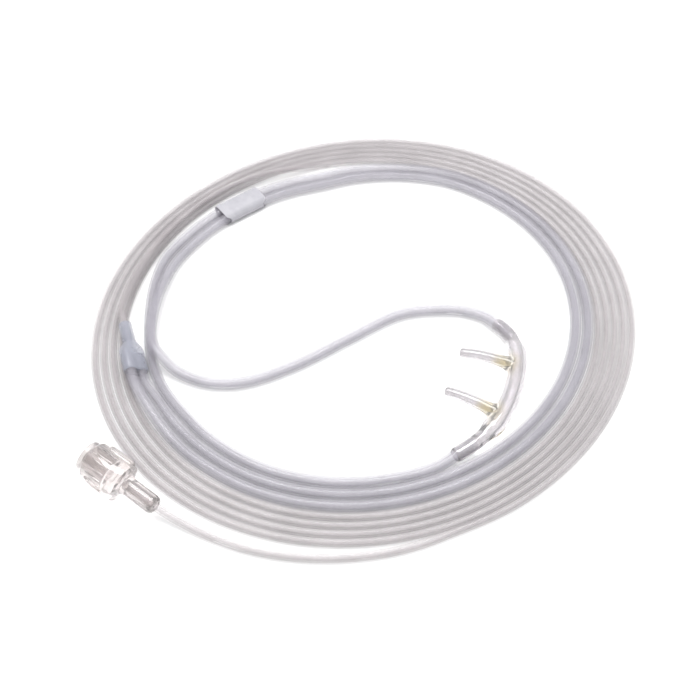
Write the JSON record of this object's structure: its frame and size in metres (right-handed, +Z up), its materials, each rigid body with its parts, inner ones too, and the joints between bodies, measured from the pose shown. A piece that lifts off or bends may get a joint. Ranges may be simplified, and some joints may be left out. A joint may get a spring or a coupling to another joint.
{
  "type": "carbon dioxide sampling nasal cannula",
  "caption": "Coiled nasal cannula for sampling breath: thin clear line with a Luer lock connector, Y connector, paired branch tubes, a slide and a soft pronged nosepiece.",
  "frame": {"origin": "middle of the bounding box's bottom, on the surface that the coiled cannula lies on", "axes": "+Z up from the surface, -Y towards the viewer of the coil as it lies, with the Luer lock connector at the front left"},
  "size_m": [0.1648, 0.167, 0.0125],
  "materials": {
    "luer_plastic": "clear rigid moulded acrylic, polished, with a faint warm tint",
    "sampling_tubing": "clear flexible extruded vinyl, smooth and glossy",
    "branch_tubing": "clear flexible extruded vinyl with a faint lilac tint, smooth and glossy",
    "y_plastic": "bluish grey translucent moulded vinyl, satin",
    "slide_plastic": "milky frosted moulded polyethylene",
    "nosepiece_vinyl": "clear soft dip-moulded vinyl, faintly yellow where it is thick"
  },
  "bodies": {
    "cannula": {"luer_connector": "luer_plastic", "sampling_line_lead": "sampling_tubing", "sampling_line_coil": "sampling_tubing", "sampling_line_tail": "sampling_tubing", "y_connector": "y_plastic", "lower_branch_lead": "branch_tubing", "lower_branch_turn": "branch_tubing", "upper_branch_lead": "branch_tubing", "upper_branch_turn": "branch_tubing", "lower_branch_run": "branch_tubing", "upper_branch_run": "branch_tubing", "nosepiece": "nosepiece_vinyl"},
    "slide": {"slide": "slide_plastic"}
  },
  "joints": [
    {"name": "slide_travel", "type": "hinge", "parent": "cannula", "child": "slide", "pos_m": [0.00105, -0.00758, 0.00225], "axis": [0, 0, 1], "range_deg": [-15, 10]}
  ]
}
